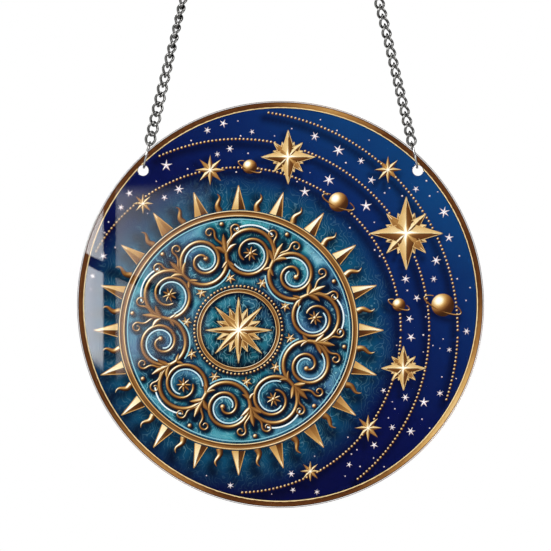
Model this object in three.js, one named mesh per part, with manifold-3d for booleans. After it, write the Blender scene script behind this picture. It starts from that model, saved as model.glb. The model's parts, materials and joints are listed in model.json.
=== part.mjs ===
// A round acrylic suncatcher: a clear disc with a picture printed on its back, hung by two holes
// near its rim from two strands of curb chain that meet at a ring.
//
// Millimetres. +X is to the right, +Y away from the viewer and +Z up. The origin is where a hook
// carries the part: under the highest stretch of wire inside the top ring.

import * as THREE from 'three';
import { mergeVertices } from 'three/addons/utils/BufferGeometryUtils.js';
import Module from 'manifold-3d';

const wasm = await Module();
wasm.setup();

// Driving dimensions of the disc

const DISC_DIAMETER = 150;
const CLEAR_THICKNESS = 2.5;
const PRINT_THICKNESS = 0.5;
const PRINT_RIM = 0.3; // clear acrylic left outside the print
const HOLE_DIAMETER = 4;
const HOLE_LAND = 2.2; // acrylic left between a hole and the disc's rim
const HOLE_ANGLE = 44.3; // degrees that each hole lies above the disc's middle

// Driving dimensions of the chain and its rings

const LINK_WIRE = 1;
const LINK_WIDTH = 4.4;
const LINK_PITCH = 3.7;
const LINK_TWIST = 52; // degrees that each end of a curb link is turned out of its flat
const LINKS_IN_STRAND = 55;
const LOOSE_LINKS = 16; // the lowest links of a strand, each a piece of its own
const LINKS_IN_RUN = 4; // above them, links are joined in runs of this many

// Degrees that links are turned about their strand's line: the lowest one, the one that stands
// TURNING_LINKS above it, and the highest one. Links between them turn evenly.
const STRAND_TURNS = {
  left: { lowest: 8, above: -60, highest: -50 },
  right: { lowest: 40, above: 45, highest: -50 },
};
const TURNING_LINKS = 14;

const TOP_RING_OUTSIDE = 14;
const TOP_RING_WIRE = 1.2;
const CONNECTING_RING_OUTSIDE = 6;
const CONNECTING_RING_WIRE = 0.8;
const DISC_RING_OUTSIDE = 10.5;
const DISC_RING_WIRE = 0.8;

// Clearances and overlaps

const WIRE_CLEARANCE = 0.3; // between two wires that hang on each other
const SEAT_CLEARANCE = 0.25; // between a disc ring and the hole's wall
const RUN_OVERLAP = 0.15; // how far the wires of a run's links sink into each other

// Facets

const DISC_SIDES = 96;
const HOLE_SIDES = 24;
const LOOSE_LINK_STEPS = 12;
const LOOSE_LINK_SIDES = 5;
const RUN_LINK_STEPS = 10;
const RUN_LINK_SIDES = 4;
const RING_STEPS = 24;
const RING_SIDES = 6;
const TOP_RING_STEPS = 32;
const TOP_RING_SIDES = 8;

// Sizes that follow

const radians = THREE.MathUtils.degToRad;

const thickness = CLEAR_THICKNESS + PRINT_THICKNESS;
const holeRadius = HOLE_DIAMETER / 2;
const holeDistance = DISC_DIAMETER / 2 - HOLE_LAND - holeRadius;
const holeSide = holeDistance * Math.cos(radians(HOLE_ANGLE));
const holeRise = holeDistance * Math.sin(radians(HOLE_ANGLE));

// A link's reach is from its middle to the middle of the wire at its end.
const hangingReach = (LINK_PITCH + LINK_WIRE + WIRE_CLEARANCE) / 2;
const joinedReach = (LINK_PITCH + LINK_WIRE - RUN_OVERLAP) / 2;

const topRingRadius = (TOP_RING_OUTSIDE - TOP_RING_WIRE) / 2;
const connectingRingRadius = (CONNECTING_RING_OUTSIDE - CONNECTING_RING_WIRE) / 2;
const discRingRadius = (DISC_RING_OUTSIDE - DISC_RING_WIRE) / 2;

// A wire hooked under another one sits this far back from it, middle to middle.
const hookedBack = (wire, other) => (wire + other) / 2 + WIRE_CLEARANCE;

// Distances along a strand, measured down from the middle of the top ring

const connectingRingAt = topRingRadius
  - hookedBack(TOP_RING_WIRE, CONNECTING_RING_WIRE) + connectingRingRadius;
const firstLinkAt = connectingRingAt + connectingRingRadius
  - hookedBack(CONNECTING_RING_WIRE, LINK_WIRE) + hangingReach;
const lastLinkAt = firstLinkAt + (LINKS_IN_STRAND - 1) * LINK_PITCH;
const discRingAt = lastLinkAt + hangingReach
  - hookedBack(LINK_WIRE, DISC_RING_WIRE) + discRingRadius;

// The ring curves up on both sides of the disc, so it hangs lower in the middle of the hole.
const ringInside = discRingRadius - DISC_RING_WIRE / 2;
const ringCurve = ringInside - Math.sqrt(ringInside ** 2 - (thickness / 2) ** 2);
const holeAt = discRingAt + ringInside - SEAT_CLEARANCE - ringCurve + holeRadius;

// Each strand leans out just far enough to end over its hole.
const strandLean = Math.asin(holeSide / holeAt);
const ringMiddleDown = topRingRadius - TOP_RING_WIRE / 2;
const discMiddleDown = ringMiddleDown + holeAt * Math.cos(strandLean) + holeRise;

// Materials

const steel = () => new THREE.MeshStandardMaterial({ color: 0x55585c, roughness: 0.3, metalness: 1 });
const acrylic = () => new THREE.MeshStandardMaterial({
  color: 0xe6edf2,
  roughness: 0.05,
  metalness: 0,
  transparent: true,
  opacity: 0.3,
});
const ink = () => new THREE.MeshStandardMaterial({ color: 0x14205e, roughness: 0.4, metalness: 0 });

// Helpers

function named(name, geometry, material) {
  const mesh = new THREE.Mesh(geometry, material);
  mesh.name = name;
  return mesh;
}

// A solid that booleans can use, from a closed geometry.
function solidOf(geometry) {
  const bare = geometry.clone();
  bare.deleteAttribute('normal');
  bare.deleteAttribute('uv');
  const merged = mergeVertices(bare, 1e-5);
  return new wasm.Manifold(new wasm.Mesh({
    numProp: 3,
    vertProperties: new Float32Array(merged.attributes.position.array),
    triVerts: new Uint32Array(merged.index.array),
  }));
}

function geometryOf(solid) {
  const mesh = solid.getMesh();
  const geometry = new THREE.BufferGeometry();
  geometry.setAttribute('position', new THREE.BufferAttribute(mesh.vertProperties, 3));
  geometry.setIndex(new THREE.BufferAttribute(mesh.triVerts, 1));
  geometry.computeVertexNormals();
  return geometry;
}

// A wire bent into a closed loop round the origin. pointAt gives the wire's middle for a turn
// from 0 to 2 pi.
function loopedWire(pointAt, wire, steps, sides) {
  const positions = [];
  const indices = [];
  const nudge = 1e-3;
  for (let step = 0; step < steps; step += 1) {
    const turn = (2 * Math.PI * step) / steps;
    const middle = pointAt(turn);
    const along = pointAt(turn + nudge).sub(pointAt(turn - nudge)).normalize();
    const outward = middle.clone().addScaledVector(along, -middle.dot(along)).normalize();
    const across = new THREE.Vector3().crossVectors(along, outward);
    for (let side = 0; side < sides; side += 1) {
      const angle = (2 * Math.PI * side) / sides;
      const vertex = middle.clone()
        .addScaledVector(outward, Math.cos(angle) * wire / 2)
        .addScaledVector(across, Math.sin(angle) * wire / 2);
      positions.push(vertex.x, vertex.y, vertex.z);
      const nextSide = (side + 1) % sides;
      const here = step * sides;
      const next = ((step + 1) % steps) * sides;
      indices.push(here + side, here + nextSide, next + nextSide);
      indices.push(here + side, next + nextSide, next + side);
    }
  }
  const geometry = new THREE.BufferGeometry();
  geometry.setAttribute('position', new THREE.Float32BufferAttribute(positions, 3));
  geometry.setIndex(indices);
  geometry.computeVertexNormals();
  return geometry;
}

// A curb link stands along Z with its broad side to the front, and its two ends are turned
// opposite ways, so that the next link passes through nearly at a right angle and lies as flat.
function curbLink(upperReach, lowerReach, steps, sides) {
  const halfWidth = (LINK_WIDTH - LINK_WIRE) / 2;
  const pointAt = (turn) => {
    const reach = Math.cos(turn) > 0 ? upperReach : lowerReach;
    const twist = radians(LINK_TWIST) * Math.cos(turn);
    const side = halfWidth * Math.sin(turn);
    return new THREE.Vector3(
      side * Math.cos(twist),
      side * Math.sin(twist),
      reach * Math.cos(turn),
    );
  };
  return loopedWire(pointAt, LINK_WIRE, steps, sides);
}

// How far a link is turned about its strand's line. Links are counted up from the lowest one.
function linkTurn(side, linksBelow) {
  const { mapLinear } = THREE.MathUtils;
  const { lowest, above, highest } = STRAND_TURNS[side];
  if (linksBelow < TURNING_LINKS) {
    return radians(mapLinear(linksBelow, 0, TURNING_LINKS, lowest, above));
  }
  return radians(mapLinear(linksBelow, TURNING_LINKS, LINKS_IN_STRAND - 1, above, highest));
}

// Several links joined into one solid, centred on the middle of the run. linksBelow counts the links
// of the strand below the run's highest one.
function linkRun(side, count, linksBelow) {
  let joined = null;
  for (let index = 0; index < count; index += 1) {
    const upperReach = index === 0 ? hangingReach : joinedReach;
    const lowerReach = index === count - 1 ? hangingReach : joinedReach;
    const link = curbLink(upperReach, lowerReach, RUN_LINK_STEPS, RUN_LINK_SIDES);
    link.rotateZ(linkTurn(side, linksBelow - index));
    link.translate(0, 0, ((count - 1) / 2 - index) * LINK_PITCH);
    const solid = solidOf(link);
    joined = joined ? joined.add(solid) : solid;
  }
  return geometryOf(joined);
}

// A ring seen edge on from the front.
function edgeOnRing(radius, wire) {
  const ring = new THREE.TorusGeometry(radius, wire / 2, RING_SIDES, RING_STEPS);
  return ring.rotateY(Math.PI / 2);
}

function circlePoints(x, y, radius, sides) {
  const points = [];
  for (let side = 0; side < sides; side += 1) {
    const angle = (2 * Math.PI * side) / sides;
    points.push(new THREE.Vector2(x + radius * Math.cos(angle), y + radius * Math.sin(angle)));
  }
  return points;
}

// A round plate with the two hanging holes, standing upright with its back at Y = back. Its outline
// is drawn in X and Y, and this turn makes that upright: Y to Z, and depth to the front.
const UPRIGHT = new THREE.Matrix4().makeBasis(
  new THREE.Vector3(1, 0, 0),
  new THREE.Vector3(0, 0, 1),
  new THREE.Vector3(0, -1, 0),
);

function holedPlate(radius, depth, back) {
  const outline = new THREE.Shape(circlePoints(0, 0, radius, DISC_SIDES));
  for (const side of [-1, 1]) {
    const hole = circlePoints(side * holeSide, holeRise, holeRadius, HOLE_SIDES);
    outline.holes.push(new THREE.Path(hole));
  }
  const plate = new THREE.ExtrudeGeometry(outline, { depth, bevelEnabled: false });
  plate.translate(0, 0, -back);
  return plate.applyMatrix4(UPRIGHT);
}

// The disc: clear acrylic in front, the printed layer behind it

function disc() {
  const group = new THREE.Group();
  const printFront = thickness / 2 - PRINT_THICKNESS;
  const clear = holedPlate(DISC_DIAMETER / 2, CLEAR_THICKNESS, printFront);
  const print = holedPlate(DISC_DIAMETER / 2 - PRINT_RIM, PRINT_THICKNESS, thickness / 2);
  group.add(named('acrylic_disc', clear, acrylic()));
  group.add(named('printed_picture', print, ink()));
  group.position.set(0, 0, -discMiddleDown);
  return group;
}

// One strand, hanging straight down from the top ring's middle before it is leaned out

function strand(side) {
  const group = new THREE.Group();
  const hang = (name, geometry, down) => {
    const mesh = named(`${side}_${name}`, geometry, steel());
    mesh.position.set(0, 0, -down);
    group.add(mesh);
  };
  const number = (value) => String(value).padStart(2, '0');

  const connectingRing = edgeOnRing(connectingRingRadius, CONNECTING_RING_WIRE);
  hang('connecting_ring', connectingRing, connectingRingAt);

  // The runs stand above the loose links, and the first run takes the odd links that are left.
  const joinedLinks = LINKS_IN_STRAND - LOOSE_LINKS;
  const runs = Math.ceil(joinedLinks / LINKS_IN_RUN);
  let links = 0;
  for (let run = 1; run <= runs; run += 1) {
    const count = run === 1 ? joinedLinks - (runs - 1) * LINKS_IN_RUN : LINKS_IN_RUN;
    const middle = firstLinkAt + (links + (count - 1) / 2) * LINK_PITCH;
    const linksBelow = LINKS_IN_STRAND - 1 - links;
    hang(`chain_run_${number(run)}`, linkRun(side, count, linksBelow), middle);
    links += count;
  }

  for (let loose = 1; loose <= LOOSE_LINKS; loose += 1) {
    const link = curbLink(hangingReach, hangingReach, LOOSE_LINK_STEPS, LOOSE_LINK_SIDES);
    link.rotateZ(linkTurn(side, LINKS_IN_STRAND - 1 - links));
    hang(`link_${number(loose)}`, link, firstLinkAt + links * LINK_PITCH);
    links += 1;
  }

  hang('disc_ring', edgeOnRing(discRingRadius, DISC_RING_WIRE), discRingAt);

  group.position.set(0, 0, -ringMiddleDown);
  group.rotation.y = side === 'left' ? strandLean : -strandLean;
  return group;
}

function topRing() {
  const ring = new THREE.TorusGeometry(
    topRingRadius,
    TOP_RING_WIRE / 2,
    TOP_RING_SIDES,
    TOP_RING_STEPS,
  );
  const mesh = named('top_ring', ring.applyMatrix4(UPRIGHT), steel());
  mesh.position.set(0, 0, -ringMiddleDown);
  return mesh;
}

const suncatcher = new THREE.Group();
suncatcher.name = 'suncatcher';
suncatcher.add(topRing(), strand('left'), strand('right'), disc());

export default suncatcher;
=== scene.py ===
# %% [markdown]
# # A suncatcher: clear acrylic, printed picture and curb chain
#
# A suncatcher hangs in a window. This one is a clear acrylic disc with a picture printed on its
# back, which is seen through the acrylic. Two jump rings go through holes near the disc's rim, and
# two strands of fine curb chain lead up to one ring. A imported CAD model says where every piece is
# and what it moves with. This lesson gives each piece its finish and its finer shape, and paints
# the picture.

import json
import math

import bmesh
import bpy
import numpy as np
from mathutils import Matrix, Vector
from mathutils.geometry import delaunay_2d_cdt
from mathutils.kdtree import KDTree

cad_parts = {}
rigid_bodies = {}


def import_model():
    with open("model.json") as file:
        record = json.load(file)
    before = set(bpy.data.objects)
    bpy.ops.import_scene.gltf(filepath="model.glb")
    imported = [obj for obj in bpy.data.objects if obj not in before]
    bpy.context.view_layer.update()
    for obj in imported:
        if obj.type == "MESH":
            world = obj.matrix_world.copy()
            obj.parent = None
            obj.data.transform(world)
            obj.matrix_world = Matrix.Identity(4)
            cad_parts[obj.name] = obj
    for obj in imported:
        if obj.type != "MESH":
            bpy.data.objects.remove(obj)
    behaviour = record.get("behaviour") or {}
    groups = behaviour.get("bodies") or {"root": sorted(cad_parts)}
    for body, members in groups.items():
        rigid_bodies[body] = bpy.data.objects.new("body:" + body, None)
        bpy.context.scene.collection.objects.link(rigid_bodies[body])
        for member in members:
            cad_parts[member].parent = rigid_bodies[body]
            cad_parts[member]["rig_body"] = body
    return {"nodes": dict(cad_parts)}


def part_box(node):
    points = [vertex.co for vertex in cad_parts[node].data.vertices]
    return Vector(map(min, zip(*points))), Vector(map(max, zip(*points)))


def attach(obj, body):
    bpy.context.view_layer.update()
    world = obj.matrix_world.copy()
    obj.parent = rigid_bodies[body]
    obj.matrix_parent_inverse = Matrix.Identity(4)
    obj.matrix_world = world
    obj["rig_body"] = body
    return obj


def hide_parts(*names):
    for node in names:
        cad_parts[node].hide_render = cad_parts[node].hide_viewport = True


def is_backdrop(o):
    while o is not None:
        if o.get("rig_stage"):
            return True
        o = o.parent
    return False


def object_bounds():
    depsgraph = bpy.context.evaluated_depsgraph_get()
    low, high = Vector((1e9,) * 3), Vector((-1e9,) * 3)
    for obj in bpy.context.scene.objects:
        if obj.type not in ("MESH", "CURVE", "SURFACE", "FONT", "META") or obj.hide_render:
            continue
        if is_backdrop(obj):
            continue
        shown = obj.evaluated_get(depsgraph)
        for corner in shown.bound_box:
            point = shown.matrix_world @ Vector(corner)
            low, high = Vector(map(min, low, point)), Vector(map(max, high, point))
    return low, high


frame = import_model()
cad_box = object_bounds()
print("CAD box in metres:", [round(value, 4) for corner in cad_box for value in corner])

# %% [markdown]
# ## Sizes
#
# Blender works in metres and this object is made in millimetres, so MM turns one into the other.
# The places come from the CAD nodes. The drilled holes are found in the disc's own mesh: its
# corners that don't lie on the rim lie around a hole.

# %% Measure the disc, its holes and its layers
MM = 0.001
RIM_MARGIN = 1.0

disc_low, disc_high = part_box("acrylic_disc")
print_low, print_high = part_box("printed_picture")
disc_middle = (disc_low + disc_high) / 2
disc_radius = (disc_high.x - disc_low.x) / 2 / MM
print_radius = (print_high.x - print_low.x) / 2 / MM
glass_front, glass_back, print_back = (y / MM for y in (disc_low.y, disc_high.y, print_high.y))


def drilled_holes(node):
    """Centres and radius of the two holes, in millimetres from the disc's middle."""
    corners = [(v.co - disc_middle) / MM for v in frame["nodes"][node].data.vertices]
    within = print_radius - RIM_MARGIN
    inner = [(c.x, c.z) for c in corners if math.hypot(c.x, c.z) < within]
    centres, radius = [], 0
    for side in (-1, 1):
        corners_here = np.array([c for c in inner if c[0] * side > 0])
        centres.append((corners_here.min(0) + corners_here.max(0)) / 2)
        radius = max(radius, np.linalg.norm(corners_here - centres[-1], axis=1).max())
    return centres, radius


hole_centres, hole_radius = drilled_holes("acrylic_disc")
print_hole_radius = drilled_holes("printed_picture")[1]
print("disc radius", round(disc_radius, 2), "print radius", round(print_radius, 2))
print("holes at", [tuple(c.round(2)) for c in hole_centres], "radius", round(hole_radius, 2))

# %% [markdown]
# ## Camera
#
# The photograph looks straight at the disc from a good way off, so the camera stands 1.2 m in front
# of it with a long lens. The frame's width at the disc, and how far the disc's middle lies from the
# middle of the frame, were measured in the photograph, which is 551 pixels wide.

# %% Place the camera
PHOTO_WIDTH = 551
MM_PER_PIXEL = 0.3686
DISC_IN_PHOTO = (280.5, 304.5)
CAMERA_DISTANCE = 1.2
SENSOR = 36


def placed(name, data):
    """A new object in the scene."""
    made = bpy.data.objects.new(name, data)
    bpy.context.scene.collection.objects.link(made)
    return made


long_lens = bpy.data.cameras.new("camera")
long_lens.sensor_width = SENSOR
long_lens.lens = SENSOR * CAMERA_DISTANCE / (PHOTO_WIDTH * MM_PER_PIXEL * MM)
long_lens.clip_start, long_lens.clip_end = 0.05, 20
camera = placed("camera", long_lens)
bpy.context.scene.camera = camera
right_of_middle, below_middle = [(at - PHOTO_WIDTH / 2) * MM_PER_PIXEL for at in DISC_IN_PHOTO]
camera.location = (
    disc_middle.x - right_of_middle * MM,
    disc_low.y - CAMERA_DISTANCE,
    disc_middle.z + below_middle * MM,
)
camera.rotation_euler = (math.pi / 2, 0, 0)
print("lens", round(long_lens.lens, 1), "mm, camera at", [round(v, 4) for v in camera.location])

# %% [markdown]
# ## Node helpers
#
# Every finish here is a small tree of nodes. One helper makes a node, sets its options and fills or
# links its inputs, so that a material reads as a short list of steps. Another makes a shader group
# with named inputs and outputs, for an effect that several materials use.

# %% Make one node
def node(tree, kind, inputs=None, **options):
    """A new node. Its inputs, by name or place, are linked to a socket or hold a value."""
    made = tree.nodes.new(kind)
    for name, value in options.items():
        setattr(made, name, value)
    for name, value in (inputs or {}).items():
        socket = made.inputs[name]
        if isinstance(value, bpy.types.NodeSocket):
            tree.links.new(value, socket)
        else:
            socket.default_value = (*value, 1) if socket.type == "RGBA" else value
    return made


def value_of(tree, operation, *values):
    """The result of one Math node."""
    return node(tree, "ShaderNodeMath", dict(enumerate(values)), operation=operation).outputs[0]


def ranged(tree, value, low, high, to_low=0.0, to_high=1.0):
    """A value moved from one range to another, and held inside it."""
    inputs = {
        "Value": value, "From Min": low, "From Max": high, "To Min": to_low, "To Max": to_high,
    }
    return node(tree, "ShaderNodeMapRange", inputs).outputs["Result"]


def mixed(tree, factor, first, second, blend="MIX"):
    """The colour that a Mix node makes of two."""
    inputs = {0: factor, 6: first, 7: second}
    made = node(tree, "ShaderNodeMix", inputs, data_type="RGBA", blend_type=blend)
    return made.outputs[2]


# %% Make a ramp, a bump and other common nodes
def ramp(tree, factor, stops):
    """A colour ramp's colour. stops are pairs of a position and a colour."""
    made = node(tree, "ShaderNodeValToRGB", {"Fac": factor})
    elements = made.color_ramp.elements
    while len(elements) < len(stops):
        elements.new(0.5)
    for element, (position, colour) in zip(elements, stops):
        element.position = position
        element.color = (*colour, 1)
    return made.outputs["Color"]


def attribute(tree, name):
    """A value stored on the mesh."""
    return node(tree, "ShaderNodeAttribute", attribute_name=name).outputs["Fac"]


def object_place(tree):
    return node(tree, "ShaderNodeTexCoord").outputs["Object"]


def bumped(tree, height, strength, distance):
    """The normal of a surface with this height."""
    inputs = {"Height": height, "Strength": strength, "Distance": distance}
    return node(tree, "ShaderNodeBump", inputs).outputs["Normal"]


def principled(tree, inputs):
    return node(tree, "ShaderNodeBsdfPrincipled", inputs).outputs["BSDF"]


# %% Make a material and a shader group
def surfaced(owner, output, surface_of):
    """A new material or world with the surface that surface_of makes in its tree."""
    owner.use_nodes = True
    owner.node_tree.nodes.clear()
    node(owner.node_tree, output, {"Surface": surface_of(owner.node_tree)})
    return owner


def finish(name, surface_of):
    return surfaced(bpy.data.materials.new(name), "ShaderNodeOutputMaterial", surface_of)


def shader_group(name, inputs, outputs_of):
    """A group with these inputs, and the outputs that outputs_of makes of them."""
    tree = bpy.data.node_groups.new(name, "ShaderNodeTree")
    for socket_name, value in inputs.items():
        kind = "NodeSocketColor" if isinstance(value, tuple) else "NodeSocketFloat"
        socket = tree.interface.new_socket(name=socket_name, in_out="INPUT", socket_type=kind)
        socket.default_value = value
    outputs = outputs_of(tree, node(tree, "NodeGroupInput").outputs)
    for socket_name, source in outputs.items():
        kind = "NodeSocketColor" if source.type == "RGBA" else "NodeSocketFloat"
        tree.interface.new_socket(name=socket_name, in_out="OUTPUT", socket_type=kind)
    node(tree, "NodeGroupOutput", outputs)
    return tree


def use_group(tree, group, inputs):
    return node(tree, "ShaderNodeGroup", inputs, node_tree=group).outputs


# %% [markdown]
# ## World
#
# The photograph's background is plain white. Here it is a world that is white for camera rays and
# for rays that pass through the acrylic. Metal shows what stands around it, so reflected rays see a
# room: lit walls to the left, right and above, a dark place behind the object and one behind the
# camera. The first gives the round wires of a chain their dark edges. The second keeps the flat
# disc, which mirrors what is behind the camera, from looking milky. Light that was reflected inside
# the acrylic on its way sees a paler room, because a clear sawn rim gathers light and isn't black.
# Everything else is lit by an even grey.

# %% Make the world
FILL_LIGHT = (0.46, 0.46, 0.46)
WHITE = (1, 1, 1)
GROUND_SHARE = 0.35
# how light the room is along the view, from behind the camera at 0 to behind the object at 1
ROOM_STOPS = (
    (0.0, (0.008, 0.008, 0.008)),
    (0.012, (0.008, 0.008, 0.008)),
    (0.04, (0.80, 0.81, 0.83)),
    (0.20, (1.0, 1.0, 1.0)),
    (0.36, (0.22, 0.22, 0.22)),
    (0.50, (0.01, 0.01, 0.01)),
    (1.0, (0.01, 0.01, 0.01)),
)
# the same for light that was reflected inside the acrylic
INNER_STOPS = (
    (0.0, (0.008, 0.008, 0.008)),
    (0.015, (0.008, 0.008, 0.008)),
    (0.08, (0.42, 0.44, 0.46)),
    (1.0, (0.70, 0.72, 0.74)),
)


def studio_light(tree):
    direction = node(tree, "ShaderNodeTexCoord").outputs["Generated"]
    axes = node(tree, "ShaderNodeSeparateXYZ", {"Vector": direction}).outputs
    along = ranged(tree, axes["Y"], -1.0, 1.0)
    height = ranged(tree, axes["Z"], -1.0, 1.0, GROUND_SHARE)
    mirrored = mixed(tree, 1.0, ramp(tree, along, ROOM_STOPS), height, blend="MULTIPLY")
    rays = node(tree, "ShaderNodeLightPath").outputs
    inner = ramp(tree, along, INNER_STOPS)
    surroundings = mixed(tree, rays["Is Transmission Ray"], mirrored, inner)
    reflected = value_of(tree, "MAXIMUM", rays["Is Glossy Ray"], rays["Glossy Depth"])
    never_reflected = value_of(tree, "LESS_THAN", rays["Glossy Depth"], 0.5)
    through = value_of(tree, "MULTIPLY", rays["Is Transmission Ray"], never_reflected)
    seen = value_of(tree, "MAXIMUM", rays["Is Camera Ray"], through)
    colour = mixed(tree, seen, mixed(tree, reflected, FILL_LIGHT, surroundings), WHITE)
    background = node(tree, "ShaderNodeBackground", {"Color": colour, "Strength": 1.0})
    return background.outputs["Background"]


world = surfaced(bpy.data.worlds.new("studio"), "ShaderNodeOutputWorld", studio_light)
bpy.context.scene.world = world
bpy.context.scene.view_settings.view_transform = "Standard"
print("world made, view transform", bpy.context.scene.view_settings.view_transform)

# %% [markdown]
# ## Lamps
#
# Two big soft lamps light the disc from the left and the right of the camera, one lights it from
# behind, and a small one above puts bright lines on the chain. A flat disc mirrors whatever stands
# straight across from it, so none of them stands where the camera would see its reflection.

# %% Place the lamps
# each lamp's place from the disc's middle, its width in metres and its power in watts
LAMPS = {
    "key_lamp": ((-0.95, -1.0, 0.45), 0.7, 13.0),
    "fill_lamp": ((1.1, -0.9, -0.05), 0.6, 4.2),
    "chain_lamp": ((0.5, -0.5, 0.95), 0.35, 3.0),
    "back_lamp": ((-0.5, 1.1, 0.5), 0.6, 5.0),
}

for lamp_name, (offset, width, power) in LAMPS.items():
    softbox = bpy.data.lights.new(lamp_name, "AREA")
    softbox.shape = "DISK"
    softbox.size = width
    softbox.energy = power
    lamp = placed(lamp_name, softbox)
    lamp.location = disc_middle + Vector(offset)
    lamp.rotation_euler = (disc_middle - lamp.location).to_track_quat("-Z", "Y").to_euler()
    lamp.visible_camera = False
print("lamps:", ", ".join(LAMPS))

# %% [markdown]
# ## From points to pieces
#
# Most pieces here are computed: lists of points and faces become a mesh. One helper does that,
# turns all faces outwards and stores values on the mesh that a material can read. Another lays
# four-cornered faces between rows of points, as the skin of a wire runs from ring to ring.

# %% Helpers that make meshes
def piece_from(name, points, faces, material, smooth=(4,), stored=None, domain="POINT", weld=0):
    """An object from points in metres and faces, which are turned outwards if there are several.

    smooth has the numbers of corners of the faces that are shaded smooth. stored values, one for
    each point or corner, become attributes. Points closer together than weld are joined.
    """
    mesh = bpy.data.meshes.new(name)
    mesh.from_pydata(np.asarray(points).tolist(), [], faces)
    mesh.polygons.foreach_set("use_smooth", [len(face) in smooth for face in faces])
    for attribute_name, values in (stored or {}).items():
        held = mesh.attributes.new(attribute_name, "FLOAT", domain)
        held.data.foreach_set("value", np.asarray(values, np.float32))
    work = bmesh.new()
    work.from_mesh(mesh)
    if weld:
        bmesh.ops.remove_doubles(work, verts=work.verts, dist=weld)
    if len(faces) > 1:
        bmesh.ops.recalc_face_normals(work, faces=work.faces)
    work.to_mesh(mesh)
    work.free()
    mesh.materials.append(material)
    return placed(name, mesh)


def skin(rows, around, closed=False, ends=True, start=0):
    """Faces between rows of points, which close to a loop or have two flat ends."""
    faces = []
    for row in range(rows if closed else rows - 1):
        here, there = start + row * around, start + (row + 1) % rows * around
        for side in range(around):
            after = (side + 1) % around
            faces.append((here + side, here + after, there + after, there + side))
    if ends and not closed:
        for first in (start, start + (rows - 1) * around):
            faces.append(tuple(range(first, first + around)))
    return faces


def directions(line, closed=False):
    """The way that a line runs at each of its points."""
    along = np.roll(line, -1, 0) - np.roll(line, 1, 0) if closed else np.gradient(line, axis=0)
    return along / np.linalg.norm(along, axis=1, keepdims=True)


def swept_wire(middles, wire, sides, closed=True, start=0):
    """Points and faces of a round wire along a line, closed to a loop or with flat ends."""
    along = directions(middles, closed)
    outward = middles - middles.mean(0)
    outward -= along * (outward * along).sum(1, keepdims=True)
    outward /= np.linalg.norm(outward, axis=1, keepdims=True)
    turn = np.linspace(0, 2 * np.pi, sides, endpoint=False)[:, None]
    ring = outward[:, None] * np.cos(turn) + np.cross(along, outward)[:, None] * np.sin(turn)
    points = (middles[:, None] + ring * wire / 2).reshape(-1, 3)
    return points, skin(len(middles), sides, closed, start=start)


# %% [markdown]
# ## Floor and window
#
# The object hangs, so the floor lies well below it and the main view doesn't reach it. It is there
# for the views from above. A flat polished disc always mirrors something: in the photograph a
# window lays a pale veil over the disc's left part. It has an upright bar and a slanting one, it is
# brightest beside the rim, and it fades towards the middle. Four panes stand behind the camera to
# do the same. Only reflected rays see them, so they light nothing else. A flat mirror doubles the
# way: a pane at three camera distances in all is three times as big as its veil.

# %% Lay the floor
FLOOR_RADIUS = 1.6
FLOOR_DROP = 0.33
FLOOR_SIDES = 96
FLOOR_GREYS = ((0.80, 0.80, 0.79), (0.84, 0.84, 0.83))


def floor_surface(tree):
    cloud = node(tree, "ShaderNodeTexNoise", {"Vector": object_place(tree), "Scale": 3.0})
    colour = mixed(tree, cloud.outputs["Fac"], *FLOOR_GREYS)
    return principled(tree, {"Base Color": colour, "Roughness": 0.85})


floor_height = disc_low.z - FLOOR_DROP
turns = np.linspace(0, 2 * np.pi, FLOOR_SIDES, endpoint=False)
floor_rim = [(FLOOR_RADIUS * math.cos(t), FLOOR_RADIUS * math.sin(t), floor_height) for t in turns]
floor_finish = finish("pale floor", floor_surface)
piece_from("floor", floor_rim, [tuple(range(FLOOR_SIDES))], floor_finish)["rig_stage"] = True
print("floor at", round(floor_height, 3), "m")

# %% Hang the window
WINDOW_DISTANCE = 2 * CAMERA_DISTANCE
WINDOW_LIGHT = (0.93, 0.97, 1)
REFLECTION_SCALE = 1 + WINDOW_DISTANCE / CAMERA_DISTANCE
PANE_STEPS = 33

# the gold band along the print's rim ends where the sky begins, and so do the lower panes' veils
RIM_BAND = 2.2
SKY_RADIUS = print_radius - RIM_BAND
VEIL_RADIUS = disc_radius - 0.6

# Each pane's veil on the disc, in millimetres from the camera's axis. sides are its left and right
# edge, top and bottom its heights at both, light its brightness at both, and soft how far its left,
# right, top and bottom edges fade. inside is the circle around the disc's middle that cuts it off.
PANES = {
    "upper_left": {
        "sides": (-90, -63), "top": (32, 32), "bottom": (8.0, 4.7), "light": (12.5, 8.0),
        "soft": (0.4, 1.1, 4.0, 0.7), "inside": VEIL_RADIUS,
    },
    "lower_left": {
        "sides": (-90, -63), "top": (4.2, 0.9), "bottom": (-34, -37), "light": (12.5, 9.0),
        "soft": (0.4, 1.1, 0.7, 6.0), "inside": SKY_RADIUS,
    },
    "upper_right": {
        "sides": (-59.3, -23), "top": (34, 36), "bottom": (2.7, -12.6), "light": (3.4, 0.45),
        "soft": (1.1, 1.5, 6.0, 0.9), "inside": VEIL_RADIUS,
    },
    "lower_right": {
        "sides": (-59.3, -23), "top": (-0.1, -14.8), "bottom": (-40, -26), "light": (3.2, 0.45),
        "soft": (1.1, 1.5, 0.9, 6.0), "inside": SKY_RADIUS,
    },
}


def eased(value, low, high):
    """0 at low, 1 at high and a soft change between them."""
    share = np.clip((value - low) / (high - low), 0, 1)
    return share * share * (3 - 2 * share)


def pane_surface(tree):
    inputs = {"Color": WINDOW_LIGHT, "Strength": attribute(tree, "light")}
    return node(tree, "ShaderNodeEmission", inputs).outputs["Emission"]


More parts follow.
